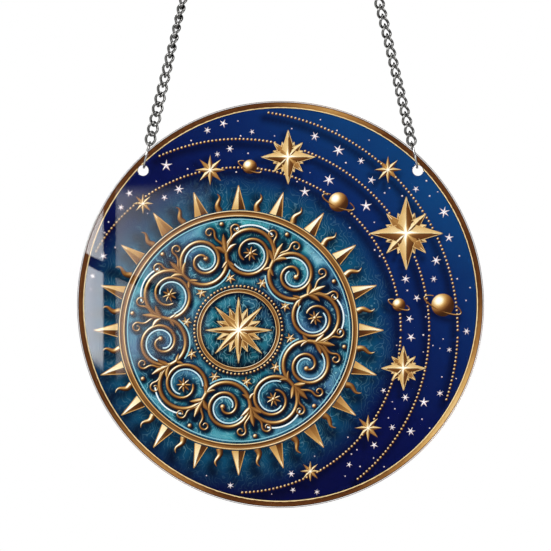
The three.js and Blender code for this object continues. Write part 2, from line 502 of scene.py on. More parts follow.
def hang_pane(name, material, sides, top, bottom, light, soft, inside):
    """A pane of fine squares that are closer near its edges, with its light stored on them."""
    spread = (1 - np.cos(np.linspace(0, np.pi, PANE_STEPS))) / 2
    across, up = np.meshgrid(spread, spread)
    low, high = [np.interp(across, (0, 1), heights) for heights in (bottom, top)]
    height = low * (1 - up) + high * up
    rim = right_of_middle - np.sqrt(inside**2 - (height + below_middle) ** 2)
    left = np.clip(rim, *sides)
    width = sides[1] - left
    stored = light[1] + (light[0] - light[1]) * (1 - across) ** 2
    down, tall = 1 - up, high - low
    to_edges = (across * width, (1 - across) * width, down * tall, up * tall)
    for distance, softness in zip(to_edges, soft):
        stored = stored * eased(distance, 0, softness)
    veil = np.stack([left + width * across, 0 * height, height], axis=-1).reshape(-1, 3)
    behind = np.array(camera.location) + (0, CAMERA_DISTANCE - WINDOW_DISTANCE, 0)
    corners = np.arange(PANE_STEPS**2).reshape(PANE_STEPS, PANE_STEPS)[:-1, :-1]
    squares = [(c, c + 1, c + PANE_STEPS + 1, c + PANE_STEPS) for c in corners.ravel().tolist()]
    points = behind + veil * REFLECTION_SCALE * MM
    pane = piece_from(name, points, squares, material, (), {"light": stored.ravel()})
    for ray in ("camera", "diffuse", "transmission", "shadow"):
        setattr(pane, f"visible_{ray}", False)
    pane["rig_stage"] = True


window_light = finish("window light", pane_surface)
for pane_name, pane in PANES.items():
    hang_pane(f"{pane_name}_pane", window_light, **pane)
print("window panes:", len(PANES))

# %% [markdown]
# ## Shared effects
#
# Nothing handled or printed is quite even. One group adds slow clouds to any value, which serves
# the metal's roughness, the enamel colours and the sky. Another lays the fine dots of a printer's
# ink over a colour, which every printed layer shows alike. A third draws wavy lines into the enamel
# and into the glow around the sun. Each line is a painted highlight beside a painted shade, so that
# it looks engraved.

# %% Build the shader groups
WAVE = {"Distortion": 26.0, "Detail": 2.0, "Detail Scale": 1.3}
# where along a wave its painted highlight starts, is brightest, and has given way to the painted
# shade
LINE_START, LINE_TURN, LINE_END = 0.62, 0.78, 0.9
DARK_LINE_SHARE = 0.45


def cloud_outputs(tree, given):
    inputs = {"Vector": object_place(tree), "Scale": given["Scale"], "Detail": 4.0}
    cloud = node(tree, "ShaderNodeTexNoise", {**inputs, "Roughness": 0.55}).outputs["Fac"]
    centred = value_of(tree, "SUBTRACT", cloud, 0.5)
    return {"Value": value_of(tree, "MULTIPLY_ADD", centred, given["Amount"], given["Value"])}


def dot_outputs(tree, given):
    inputs = {"Vector": object_place(tree), "Scale": given["Dot scale"]}
    distance = node(tree, "ShaderNodeTexVoronoi", inputs).outputs["Distance"]
    centred = value_of(tree, "SUBTRACT", distance, 0.5)
    lightness = value_of(tree, "MULTIPLY_ADD", centred, given["Amount"], 1.0)
    speckled = mixed(tree, 1.0, given["Color"], lightness, blend="MULTIPLY")
    return {"Color": speckled, "Height": distance}


soft_clouds = shader_group(
    "Soft clouds", {"Value": 0.5, "Amount": 0.1, "Scale": 50.0}, cloud_outputs
)
ink_dots = shader_group(
    "Ink dots", {"Color": (0.5, 0.5, 0.5, 1), "Amount": 0.1, "Dot scale": 3200.0}, dot_outputs
)


def clouded(tree, value, amount, scale):
    """A value with soft clouds in it."""
    inputs = {"Value": value, "Amount": amount, "Scale": scale}
    return use_group(tree, soft_clouds, inputs)["Value"]


def wave_outputs(tree, given):
    inputs = {"Vector": object_place(tree), "Scale": given["Scale"], **WAVE}
    waves = node(tree, "ShaderNodeTexWave", inputs, wave_profile="SAW").outputs["Fac"]
    # a painted highlight rises and falls, and a painted shade follows it
    rise = ranged(tree, waves, LINE_START, LINE_TURN)
    fall = ranged(tree, waves, LINE_TURN, LINE_END)
    line = value_of(tree, "SUBTRACT", rise, fall)
    patches = {"Value": clouded(tree, 0.55, 3.0, 80.0), "Min": 0.1, "Max": 1.0}
    patchy = node(tree, "ShaderNodeClamp", patches).outputs["Result"]
    shown = value_of(tree, "MULTIPLY", patchy, given["Amount"])
    light = value_of(tree, "MULTIPLY", line, shown)
    lined = mixed(tree, light, given["Color"], given["Light line"])
    cut = value_of(tree, "MULTIPLY", fall, value_of(tree, "MULTIPLY", shown, DARK_LINE_SHARE))
    return {"Color": mixed(tree, cut, lined, given["Dark line"])}


engraved_waves = shader_group(
    "Engraved waves",
    {
        "Color": (0.1, 0.1, 0.1, 1),
        "Light line": (0.5, 0.5, 0.5, 1),
        "Dark line": (0.0, 0.0, 0.0, 1),
        "Amount": 0.5,
        "Scale": 150.0,
    },
    wave_outputs,
)
groups = (soft_clouds, ink_dots, engraved_waves)
print("shader groups:", ", ".join(group.name for group in groups))

# %% [markdown]
# ## Steel finish
#
# The chain is plated in a dark nickel, and the rings in the disc's holes in a brighter one. Their
# light and dark come from what they mirror. Tumbling and handling leave soft patches where the
# plate is worn and duller, and fine dents.

# %% Make the steel finishes
# each plate's colour where it is whole and where it is worn
NICKELS = {
    "dark nickel plate": ((0.12, 0.118, 0.113), (0.34, 0.335, 0.325)),
    "bright nickel plate": ((0.42, 0.415, 0.405), (0.62, 0.61, 0.59)),
}


def steel(whole, worn):
    def surface(tree):
        place = {"Vector": object_place(tree), "Scale": 2600.0, "Detail": 2.0}
        dents = node(tree, "ShaderNodeTexNoise", place).outputs["Fac"]
        return principled(tree, {
            "Base Color": mixed(tree, clouded(tree, 0.5, 1.6, 420.0), whole, worn),
            "Roughness": clouded(tree, 0.17, 0.16, 900.0),
            "Metallic": 1.0,
            "Normal": bumped(tree, dents, 0.05, 0.00008),
        })

    return surface


chain_steel, ring_steel = [finish(name, steel(*colours)) for name, colours in NICKELS.items()]
print("finishes made:", ", ".join(NICKELS))

# %% [markdown]
# ## Curb chain
#
# A curb link is an oval of round wire whose two ends are turned opposite ways, so that the next
# link passes through it and the chain lies flat. A hanging strand is seldom seen quite face on:
# each one here is turned about its own line, and turns a little further with every link. The CAD
# model has few sides on its wire. Here each link is swept again along the same line, with a rounder
# wire, and each piece stands in the place of one CAD node: one link low on the strand, or a run of
# links above.

# %% Shape one curb link
SIDES = ("left", "right")
LINK_WIRE = 1.0
LINK_WIDTH = 4.4
LINK_TWIST = math.radians(52)
LINK_PLAY = 0.3
LINK_STEPS = 36
LINK_SIDES = 12


def node_middle(name):
    low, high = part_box(name)
    return (low + high) / 2


def strand_of(side):
    """The strand's way up as a vector, and the distance between its links."""
    way_up = node_middle(f"{side}_link_15") - node_middle(f"{side}_link_16")
    return way_up.normalized(), way_up.length


link_pitch = strand_of("left")[1] / MM
link_reach = (link_pitch + LINK_WIRE + LINK_PLAY) / 2
link_length = 2 * link_reach + LINK_WIRE
turns = np.linspace(0, 2 * np.pi, LINK_STEPS, endpoint=False)
sideways = (LINK_WIDTH - LINK_WIRE) / 2 * np.sin(turns)
twist = LINK_TWIST * np.cos(turns)
link_line = np.stack(
    [sideways * np.cos(twist), sideways * np.sin(twist), link_reach * np.cos(turns)], axis=1
)
print("link pitch", round(link_pitch, 3), "mm, link length", round(link_length, 2), "mm")

# %% Hang the links
# the places of links on a strand, counted from the lowest, and how far each side's are turned there
TURN_PLACES = (0, 10, 54)
STRAND_TURNS = {"left": (8, -62, -50), "right": (38, 46, -50)}
LINK_SHAKE = 1.5
shaker = np.random.default_rng(7)


def links_along(side, places):
    """Points and faces of the links at some places of a strand."""
    way_up, pitch = strand_of(side)
    across = Vector((0, 1, 0)).cross(way_up).normalized()
    lean = np.array(Matrix((across, way_up.cross(across), way_up)))
    lowest = node_middle(f"{side}_link_16")
    points, faces = [], []
    for place in places:
        degrees = np.interp(place, TURN_PLACES, STRAND_TURNS[side])
        degrees += shaker.uniform(-LINK_SHAKE, LINK_SHAKE)
        turn = np.array(Matrix.Rotation(math.radians(degrees), 3, "Z"))
        line, start = link_line @ turn.T, len(points)
        link, its_faces = swept_wire(line, LINK_WIRE, LINK_SIDES, start=start)
        points.extend(np.array(lowest + way_up * pitch * place) + link @ lean * MM)
        faces.extend(its_faces)
    return points, faces


def stand_for(cad_name, piece):
    """The piece takes a CAD node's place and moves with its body."""
    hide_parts(cad_name)
    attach(piece, frame["nodes"][cad_name]["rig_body"])


for side in SIDES:
    way_up, pitch = strand_of(side)
    hung = 0
    stems = (f"{side}_link", f"{side}_chain")
    for cad_name in sorted((n for n in frame["nodes"] if n.startswith(stems)), reverse=True):
        low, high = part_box(cad_name)
        count = round(((high.z - low.z) / way_up.z - link_length * MM) / pitch) + 1
        links = links_along(side, range(hung, hung + count))
        stand_for(cad_name, piece_from(f"{cad_name}_curb", *links, chain_steel))
        hung += count
    print(side, "strand:", hung, "links")

# %% [markdown]
# ## Jump rings
#
# A jump ring is one turn of wire, sawn through and closed by hand, so its two flat ends face each
# other across a hairline. The ring in each hole and the small ones above stand edge on, and the top
# ring faces the viewer. Each is made again from its CAD box: its radius is half the box, less half
# the wire.

# %% Make the jump rings
RING_STEPS = 72
RING_SIDES = 16
SAW_CUT = math.radians(3)
# each kind's wire, finish and, in degrees, where its cut faces
RING_KINDS = {
    "top_ring": (1.2, chain_steel, 205),
    "connecting_ring": (0.8, chain_steel, 28),
    "disc_ring": (0.8, ring_steel, 28),
}


def jump_ring(kind, side=None):
    """A split ring. One that has a side stands edge on and leans as that side's strand does."""
    cad_name = f"{side}_{kind}" if side else kind
    wire, finish_here, opening = RING_KINDS[kind]
    low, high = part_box(cad_name)
    radius = (max(high.x - low.x, high.y - low.y) / MM - wire) / 2
    way_up = strand_of(side)[0] if side else Vector((0, 0, 1))
    across = Vector((0, 1, 0)) if side else Vector((1, 0, 0))
    start = math.radians(opening) + SAW_CUT / 2
    turns = np.linspace(start, start + 2 * math.pi - SAW_CUT, RING_STEPS)
    line = radius * (np.outer(np.cos(turns), across) + np.outer(np.sin(turns), way_up))
    points, faces = swept_wire(line, wire, RING_SIDES, closed=False)
    points = np.array((low + high) / 2) + points * MM
    stand_for(cad_name, piece_from(f"{cad_name}_split", points, faces, finish_here))


jump_ring("top_ring")
for side in SIDES:
    for kind in ("connecting_ring", "disc_ring"):
        jump_ring(kind, side)
print("kinds of jump rings made:", ", ".join(RING_KINDS))

# %% [markdown]
# ## Clear acrylic disc
#
# Cast acrylic is water clear, and its sawn rim is polished with a small round edge that catches
# light. The disc is made again with a truly round rim: a flat face in front and behind, and a wall
# with rounded edges around the rim and in both holes. Its material lets light pass straight on to
# the print, which renders cleaner than light bent through it, and bends only what is looked at.
# Light that has turned several times inside the sheet also goes straight on, and so meets the ink,
# which on the real disc touches the acrylic. Otherwise it would be lost between the two faces and
# the rim would look black.

# %% Helpers for flat shapes with holes
# a grid point closer to an outline than this share of the grid's spacing is left out
LEAST_GAP = 0.6


def around(middle, radius, degrees):
    """Flat places at a radius, or radii, from a middle, in one or more directions."""
    turn = np.radians(degrees)
    return np.asarray(middle) + np.stack([radius * np.cos(turn), radius * np.sin(turn)], axis=-1)


def circle(middle, radius, count):
    return around(middle, radius, np.linspace(0, 360, count, endpoint=False))


def tree_of(places):
    """A tree that finds the nearest of many flat places."""
    tree = KDTree(len(places))
    for index, (x, y) in enumerate(places):
        tree.insert((x, y, 0), index)
    tree.balance()
    return tree


def filled(outlines, keep, grid=None):
    """Points and triangles that fill the flat region for which keep is true.

    outlines are closed lines that the triangles follow, and grid the spacing of points inside.
    """
    points = [point for outline in outlines for point in outline]
    edges = []
    for outline in outlines:
        start, count = len(edges), len(outline)
        edges += [(start + index, start + (index + 1) % count) for index in range(count)]
    if grid:
        reach = np.abs(np.array(points)).max()
        rows = np.arange(-reach, reach, grid * math.sqrt(3) / 2)
        across, up = np.meshgrid(np.arange(-reach, reach, grid), rows)
        across[::2] += grid / 2
        inside = np.stack([across.ravel(), up.ravel()], axis=1)
        near = tree_of(points)
        gap = grid * LEAST_GAP
        points += [p for p in inside[keep(inside)] if near.find((*p, 0))[2] > gap]
    flat, _, triangles, *_ = delaunay_2d_cdt([Vector(p) for p in points], edges, [], 0, 1e-6)
    flat = np.array([tuple(p) for p in flat])
    triangles = np.array(triangles)
    triangles = triangles[keep(flat[triangles].mean(1))]
    used, triangles = np.unique(triangles, return_inverse=True)
    return flat[used], triangles.reshape(-1, 3)


def closed_plate(triangles, count):
    """Faces of a plate: its front, its back and a wall where only one triangle has an edge."""
    rows = triangles.tolist()
    edges = dict.fromkeys(edge for a, b, c in rows for edge in ((a, b), (b, c), (c, a)))
    faces = rows + [[count + c, count + b, count + a] for a, b, c in rows]
    return faces + [[b, a, count + a, count + b] for a, b in edges if (b, a) not in edges]


def away_from_holes(places, radius):
    """True for places further than radius from both holes' centres."""
    clear = np.ones(len(places), bool)
    for centre in hole_centres:
        clear &= np.linalg.norm(places - centre, axis=1) > radius
    return clear


def in_place(flat, depth):
    """Points in metres, from places across and up from the disc's middle and their depth."""
    depth = np.broadcast_to(depth, len(flat))
    x, z = flat[:, 0], flat[:, 1]
    return np.stack([disc_middle.x + x * MM, depth * MM, disc_middle.z + z * MM], axis=1)


# %% Shape the clear disc
RIM_SIDES = 288
HOLE_SIDES = 64
RIM_ROUNDING = 0.25
HOLE_ROUNDING = 0.15
ROUNDING_STEPS = 5
WELD = 0.002 * MM
CLEAR_TINT = (0.985, 0.995, 1.0)
STRAIGHT_TINT = (0.97, 0.98, 0.985)
ACRYLIC_IOR = 1.49
TURNS_INSIDE = 3.5


def edge_rows(rounding):
    """Steps along a wall with rounded edges: how far each is drawn in, and its depth."""
    quarter = np.linspace(0, math.pi / 2, ROUNDING_STEPS)
    drawn_in, sunk = rounding * (1 - np.sin(quarter)), rounding * (1 - np.cos(quarter))
    front, back = zip(drawn_in, glass_front + sunk), zip(drawn_in, glass_back - sunk)
    return [*front, *reversed([*back])]


def clear_disc():
    outlines = [circle((0, 0), disc_radius - RIM_ROUNDING, RIM_SIDES)]
    outlines += [circle(c, hole_radius + HOLE_ROUNDING, HOLE_SIDES) for c in hole_centres]
    limit = hole_radius + HOLE_ROUNDING - 0.01
    flat, triangles = filled(outlines, lambda places: away_from_holes(places, limit))
    points = [*in_place(flat, glass_front), *in_place(flat, glass_back)]
    faces = triangles.tolist() + (triangles[:, ::-1] + len(flat)).tolist()
    walls = [((0, 0), disc_radius, RIM_SIDES, RIM_ROUNDING, -1)]
    walls += [(centre, hole_radius, HOLE_SIDES, HOLE_ROUNDING, 1) for centre in hole_centres]
    for centre, radius, sides, rounding, inwards in walls:
        rows = edge_rows(rounding)
        faces += skin(len(rows), sides, ends=False, start=len(points))
        for drawn_in, depth in rows:
            points += [*in_place(circle(centre, radius + inwards * drawn_in, sides), depth)]
    return points, faces


def acrylic_surface(tree):
    bending = principled(tree, {
        "Transmission Weight": 1.0,
        "IOR": ACRYLIC_IOR,
        "Base Color": CLEAR_TINT,
        "Roughness": clouded(tree, 0.004, 0.006, 60.0),
    })
    rays = node(tree, "ShaderNodeLightPath").outputs
    light_ray = value_of(tree, "MAXIMUM", rays["Is Shadow Ray"], rays["Is Diffuse Ray"])
    turned_often = value_of(tree, "GREATER_THAN", rays["Ray Depth"], TURNS_INSIDE)
    straight_on = value_of(tree, "MAXIMUM", light_ray, turned_often)
    clear = node(tree, "ShaderNodeBsdfTransparent", {"Color": STRAIGHT_TINT}).outputs["BSDF"]
    surface = {0: straight_on, 1: bending, 2: clear}
    return node(tree, "ShaderNodeMixShader", surface).outputs["Shader"]


acrylic = finish("clear cast acrylic", acrylic_surface)
disc = piece_from("clear_disc", *clear_disc(), acrylic, weld=WELD)
stand_for("acrylic_disc", disc)
print("clear disc:", len(disc.data.polygons), "faces")

# %% [markdown]
# ## How the picture is built
#
# The picture is ink, but it is drawn to look like gold wire and enamel. It could be one flat plate
# with a pattern in its shader, but fine lines would then be only as sharp as a texture. So each
# line, star and bead is a thin closed body inside the print's half millimetre, and carries a
# painted light on its corners: a value from dark to bright, as a painter lights a moulding from the
# upper left. The gold finish turns that value into brown, gold or cream.

# %% Paint light on leaning surfaces
# how each form is lit: how far its sides lean, its own light, the sun's, the glint's and how sharp
# that glint is
MOULDING = (0.94, 0.05, 0.52, 0.68, 20)
LIP = (0.80, 0.34, 0.42, 0.40, 8)
HOLLOW = (-0.75, 0.06, 0.42, 0.10, 6)
FACET = (0.72, 0.22, 0.46, 0.12, 4)
RAY = (0.70, 0.14, 0.50, 0.20, 4)
BALL = (0.97, 0.12, 0.60, 0.50, 10)


def unit(vector):
    return np.array(vector) / np.linalg.norm(vector)


painted_sun = unit([-0.55, 0.62, 0.56])
painted_glint = unit(painted_sun + [0, 0, 1])


def painted_light(form, way):
    """The painted value of a form where its surface leans this way, across and up."""
    lean, base, lit, glint, sharpness = form
    tilt = lean * np.asarray(way, float)
    facing = np.sqrt(np.clip(1 - (tilt**2).sum(-1, keepdims=True), 0, 1))
    normal = np.concatenate([tilt, facing], axis=-1)
    light = np.clip(normal @ painted_sun, 0, 1)
    shine = np.clip(normal @ painted_glint, 0, 1) ** sharpness
    return np.clip(base + lit * light + glint * shine, 0, 1)


print("light painted from", painted_sun.round(2))

# %% Collect the shapes of a layer
PICTURE_BACK = print_back
FIELD_BACK = print_back - 0.02
GOLD_TOP = glass_back + 0.03
GOLD_EDGE = glass_back + 0.20
ENAMEL_FRONT = glass_back + 0.23
SKY_FRONT = glass_back + 0.30

# Where flat backs of overlapping shapes lie in one plane, a render shows them black. So each
# shape's back lies a little less deep than the last one's, in a short cycle.
BACK_STEP = 0.0015
BACK_CYCLE = 13


def on_disc(made):
    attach(made, "disc")
    print(made.name, "has", len(made.data.polygons), "faces")


class Layer:
    """Closed shapes of one ink, with a painted value at every corner, and where they lie."""

    def __init__(self):
        self.points, self.faces, self.values, self.spine = [], [], [], []
        self.shapes = 0

    def add(self, points, faces, values, by_face=False):
        """values has a number for each point or, by face, a list of numbers for each face."""
        start = len(self.points)
        back = PICTURE_BACK - BACK_STEP * (self.shapes % BACK_CYCLE)
        self.shapes += 1
        self.points += [(x, back if y == PICTURE_BACK else y, z) for x, y, z in points]
        self.faces += [[start + corner for corner in face] for face in faces]
        by_corner = values if by_face else [[values[corner] for corner in face] for face in faces]
        self.values += [value for values_here in by_corner for value in values_here]

    def lies_at(self, places, half_width):
        """Remembers where the layer is, for the shadows that are painted under it."""
        self.spine += [(x, y, half_width) for x, y in places]

    def piece(self, name, material, smooth=()):
        points = np.array(self.points)
        points = in_place(points[:, ::2], points[:, 1])
        stored = {"shade": self.values}
        on_disc(piece_from(name, points, self.faces, material, smooth, stored, "CORNER"))


# %% [markdown]
# A stroke is the basic mark: a strip along any line, domed across, as wide at each step as is
# asked. Its two ends are flat, so a stroke that narrows to nothing ends in a point, and one that
# narrows as a quarter circle ends round. A lipped band is a stroke with a bright bead along both
# sides.

# %% Shape a moulding and a lipped band
LIP_MIDDLE = 0.8
LIP_HALF = 0.2
LOW_CROWN = 0.35
BAND_ACROSS = np.array([-1, -0.9, -0.78, -0.66, -0.6, -0.3, 0, 0.3, 0.6, 0.66, 0.78, 0.9, 1])
ROUND_ACROSS = np.linspace(-1, 1, 7)
ROUND_CROWN = np.sqrt(1 - (0.97 * ROUND_ACROSS) ** 2)
LINE_ACROSS = np.array([-1, 0, 1])
LINE_CROWN = np.full(3, LOW_CROWN)


def lip_crown(across):
    """How high a lipped band stands at these shares of its half width."""
    from_lip = (np.abs(across) - LIP_MIDDLE) / LIP_HALF
    lip = LOW_CROWN + (1 - LOW_CROWN) * np.sqrt(np.clip(1 - from_lip**2, 0, 1))
    return np.where(from_lip > -1, lip, LOW_CROWN)


def round_shade(across, normal):
    """Painted light on a half-round moulding. across runs from -1 to 1."""
    return painted_light(MOULDING, across * normal)


def lipped_shade(across, normal):
    """Painted light on a hollow band between two beads."""
    from_lip = (np.abs(across) - LIP_MIDDLE) / LIP_HALF
    lip = painted_light(LIP, np.clip(from_lip, -1, 1) * np.sign(across) * normal)
    return np.where(from_lip[:, 0] > -1, lip, painted_light(HOLLOW, across * normal))


ROUND = (ROUND_ACROSS, ROUND_CROWN, round_shade)
LIPPED = (BAND_ACROSS, lip_crown(BAND_ACROSS), lipped_shade)
print("points across a moulding:", len(ROUND_ACROSS), "and across a band:", len(BAND_ACROSS))


# %% Draw a stroke and a line
def left_of(along):
    return np.stack([-along[:, 1], along[:, 0]], axis=1)


def stroke(layer, line, widths, profile=ROUND, closed=False, lift=0.0):
    """A strip along a line, with one width or one for each step."""
    across, crown, shading = profile
    line = np.asarray(line, float)
    widths = np.broadcast_to(widths, len(line))[:, None]
    normal = left_of(directions(line, closed))[:, None]
    flat = line[:, None] + normal * (across * widths / 2)[..., None]
    depth = GOLD_EDGE - lift + (GOLD_TOP - GOLD_EDGE) * crown * np.clip(widths, 0, 1)
    front = np.stack([flat[..., 0], depth, flat[..., 1]], axis=-1)
    back = front[:, ::-1].copy()
    back[..., 1] = PICTURE_BACK
    loops = np.concatenate([front, back], axis=1)
    value = shading(across[:, None], normal)
    value = np.concatenate([value, value[:, ::-1]], axis=1)
    faces = skin(len(line), 2 * len(across), closed)
    layer.add(loops.reshape(-1, 3), faces, value.ravel().tolist())
    layer.lies_at(line, float(widths.max()) / 2)


def thin_line(layer, line, width, value, lift=0.0):
    """A flat line of one painted value."""

    def even_shade(across, normal):
        return np.full((len(normal), len(across)), value)

    stroke(layer, line, width, (LINE_ACROSS, LINE_CROWN, even_shade), lift=lift)


# %% Lay out widths, arcs and bends
def round_ended(count, start_width, width, blunt):
    """Widths that run evenly from one to another. blunt is the share that each round end takes."""
    share = np.linspace(0, 1, count)
    ends = np.clip(np.minimum(share, 1 - share) / blunt, 0, 1)
    rounded = np.sqrt(np.clip(1 - (1 - ends) ** 2, 0.02, 1))
    return (start_width + (width - start_width) * share) * rounded


def arc(middle, radius, start, stop, step=0.6):
    """Points along an arc, in degrees. radius may be a pair for an even spiral."""
    first, last = radius if isinstance(radius, tuple) else (radius, radius)
    length = abs(math.radians(stop - start)) * (first + last) / 2
    count = max(8, int(length / step))
    return around(middle, np.linspace(first, last, count), np.linspace(start, stop, count))


def bend(start, start_way, stop, stop_way, count=16):
    """A smooth line between two points that leaves and arrives in the given directions."""
    t = np.linspace(0, 1, count)[:, None]
    rise = t * t * (3 - 2 * t)
    ways = start_way * t * (1 - t) ** 2 + stop_way * t * t * (t - 1)
    return start * (1 - rise) + stop * rise + ways


# %% [markdown]
# A star is folded from flat facets: every point has a ridge with a light and a dark side. Each
# facet keeps one painted value over its whole face, with a glow at the middle, and the ridges and
# the outline carry a fine bright line. Beads and planets are domes, painted as balls.

# %% Draw a star
# shares of a star's size, and of its glow there
GLOW_RINGS = ((0.0, 1.0), (0.1, 0.8), (0.24, 0.36), (0.45, 0.1), (1.0, 0.0))
VALLEY_FALL = 1.7
# width and value of a star's ridge lines and of its outline
RIDGE_LINE = (0.22, 0.82)
OUTLINE = (0.22, 0.68)
LINE_LIFT = 0.03


def faceted_star(layer, middle, tips, outer, inner, turn=0.0, glow=0.75, lined=True, lift=0.0):
    count = 2 * tips
    is_tip = np.arange(count) % 2 == 0
    ways = turn + 180 * np.arange(count) / tips
    outline = around((0, 0), np.where(is_tip, outer, inner), ways)
    top, edge = GOLD_TOP - lift, GOLD_EDGE - lift
    points = []
    for share, _ in GLOW_RINGS[1:]:
        depths = top + (edge - top) * np.where(is_tip, share, min(1, VALLEY_FALL * share))
        points += [(x, d, z) for (x, z), d in zip(middle + outline * share, depths)]
    points += [(x, PICTURE_BACK, z) for x, _, z in points]
    points += [(middle[0], top, middle[1]), (middle[0], PICTURE_BACK, middle[1])]
    rings = len(GLOW_RINGS) - 2
    rim, back = rings * count, (rings + 1) * count
    faces, values = [], []
    for index in range(count):
        after = (index + 1) % count
        side, tip = (1, ways[index]) if is_tip[index] else (-1, ways[after])
        tone = float(painted_light(FACET, around((0, 0), side, tip + 90)))
        shades = [min(1.0, tone + glow * share) for _, share in GLOW_RINGS]
        for first, peak in ((0, 2 * back), (back, 2 * back + 1)):
            faces.append((peak, first + index, first + after))
            values.append([shades[0], shades[1], shades[1]])
            for ring in range(rings):
                here = first + ring * count
                there = here + count
                near, far = shades[ring + 1:ring + 3]
                faces.append((here + index, there + index, there + after, here + after))
                values.append([near, far, far, near])
        faces.append((rim + index, back + rim + index, back + rim + after, rim + after))
        values.append([tone] * 4)
    layer.add(points, faces, values, by_face=True)
    layer.lies_at([middle], inner)
    for share in (0.35, 0.6, 0.8, 1.0):
        layer.lies_at(middle + outline[::2] * share, 0.35 * inner * (1 - share))
    if lined:
        for index, corner in enumerate(outline):
            ridge = [middle + corner * 0.25, middle + corner * (0.98 if is_tip[index] else 0.9)]
            side = [middle + corner, middle + outline[(index + 1) % count]]
            thin_line(layer, ridge, *RIDGE_LINE, lift=lift + LINE_LIFT)
            thin_line(layer, side, *OUTLINE, lift=lift + LINE_LIFT)


# %% Draw a dome, a leaf and a flower
def dome(layer, middle, radius, sides=10, rings=3, lift=0.0):
    """A ball seen from the front, cut off behind. The flat back is painted like the front."""
    shares = np.sin(0.5 * np.pi * np.arange(1, rings + 1) / rings)
    edge = GOLD_EDGE - lift
    height = min(radius, 1.0) * (GOLD_EDGE - GOLD_TOP)
    rows = [(share, edge - height * math.sqrt(max(0, 1 - share**2))) for share in shares]
    rows += [(share, PICTURE_BACK) for share in shares[::-1]]
    points, values = [], []
    for share, depth in rows:
        ring = circle((0, 0), share, sides)
        points += [(x, depth, z) for x, z in middle + radius * ring]
        values += painted_light(BALL, ring).tolist()
    points += [(middle[0], edge - height, middle[1]), (middle[0], PICTURE_BACK, middle[1])]
    values += [float(painted_light(BALL, (0, 0)))] * 2
    faces = skin(len(rows), sides, ends=False)
    for start, peak in ((0, len(points) - 2), ((len(rows) - 1) * sides, len(points) - 1)):
        faces += [(start + side, start + (side + 1) % sides, peak) for side in range(sides)]
    layer.add(points, faces, values)
    layer.lies_at([middle], radius)


def leaf(layer, start, way, length, width, curl=0.0, count=14, lift=0.0):
    """A leaf that starts at a point and goes a way, in degrees, bending by curl on its way."""
    share = np.linspace(0, 1, count)
    steps = around((0, 0), length / (count - 1), way + curl * share)
    steps[0] = 0
    widths = 0.06 + width * np.sin(np.pi * share**0.8) ** 0.9
    stroke(layer, start + np.cumsum(steps, axis=0), widths, lift=lift)


def rosette(layer, middle, petals, radius, turn):
    for way in turn + 360 * np.arange(petals) / petals:
        start = around(middle, 0.15 * radius, way)
        leaf(layer, start, way, 0.85 * radius, 2.3 * radius / petals, count=8, lift=0.03)
    dome(layer, middle, 0.3 * radius, lift=0.08)


# %% [markdown]
# ## The sun's scrolls
#
# The sun is a round medallion, set low and to the left on the disc. Around its star runs a vine, an
# old ornament: circles of one size stand side by side, the stem passes over one and under the next,
# and a branch leaves the stem at every crossing and winds into its circle. Leaves fill the gaps.
# Everything follows from the number of circles and the radius on which they stand.

# %% Lay out the sun
SUN_MIDDLE = np.array([-15.5, -9.5])
SUN_RADIUS = 42.0
SUN_BAND = 2.2
VINE_CIRCLES = 10
VINE_RADIUS = 28.6
VINE_WIDTH = 1.5
VINE_START = 9.0

vine_step = 360 / VINE_CIRCLES
vine_circle = VINE_RADIUS * math.sin(math.radians(vine_step / 2))
print("circles of the vine:", VINE_CIRCLES, "with a radius of", round(vine_circle, 2), "mm")

gold, bands, pale, white = Layer(), Layer(), Layer(), Layer()


def sun_place(distance, way):
    """The place at a distance from the sun's middle, in a direction in degrees."""
    return around(SUN_MIDDLE, distance, way)


# %% Wind the vine
# A branch would shrink to nothing after VINE_SHRINK degrees. It ends in a ball or, earlier, in a
# flower.
VINE_SHRINK = 640
VINE_TURN = 545
FLOWER_TURN = 395
BRANCH_STEP = 6
BRANCH_END = 0.9
BALL_RADIUS = 0.95
FLOWER_PETALS = 8
FLOWER_RADIUS = 2.7
# Fine pale lines run beside the strokes: distance from a stroke's middle, width and value. The
# stem's have their direction in a circle, seen from the sun, and their reach before these.
BRANCH_ECHO = (1.45, 0.5, 0.75)
OUTER_ECHO = (0, 40, 1.75, 0.55, 0.9)
INNER_ECHO = (180, 45, 1.5, 0.5, 0.6)
ECHOED_SHARE = 0.72

stem = []
for circle_number in range(VINE_CIRCLES):
    radial = VINE_START + circle_number * vine_step
    middle = sun_place(VINE_RADIUS, radial)
    contact = 90 + vine_step / 2
    over = circle_number % 2 == 0
    way, turn = (1, FLOWER_TURN) if over else (-1, VINE_TURN)
    leave = radial + contact if over else radial + contact - 360
    stem.append(arc(middle, vine_circle, radial - contact, leave)[:-1])
    angle = np.linspace(0, turn, turn // BRANCH_STEP)
    branch = around(middle, vine_circle * (1 - angle / VINE_SHRINK), leave + way * angle)
    stroke(gold, branch, round_ended(len(branch), VINE_WIDTH, BRANCH_END, 0.03))
    echoed = branch[4:int(len(branch) * ECHOED_SHARE)]
    distance, *look = BRANCH_ECHO
    thin_line(pale, echoed + way * distance * left_of(directions(echoed)), *look)
    facing, reach, distance, *look = OUTER_ECHO if over else INNER_ECHO
    ends = (radial + facing - reach, radial + facing + reach)
    thin_line(pale, arc(middle, vine_circle + distance, *ends), *look)
    if over:
        rosette(gold, middle, FLOWER_PETALS, FLOWER_RADIUS, radial)
    else:
        dome(gold, branch[-1], BALL_RADIUS)
stroke(gold, np.concatenate(stem), VINE_WIDTH, closed=True)
print("vine drawn, stem of", sum(len(part) for part in stem), "points")

# %% Grow leaves and tendrils in the gaps
# each leaf's lean from straight out or in, its length, its width and its curl
OUTER_LEAVES = ((-34, 5.2, 1.9, -38), (0, 7.4, 2.3, 0), (34, 5.2, 1.9, 38))
INNER_LEAVES = ((-30, 3.4, 1.3, -30), (30, 3.4, 1.3, 30))
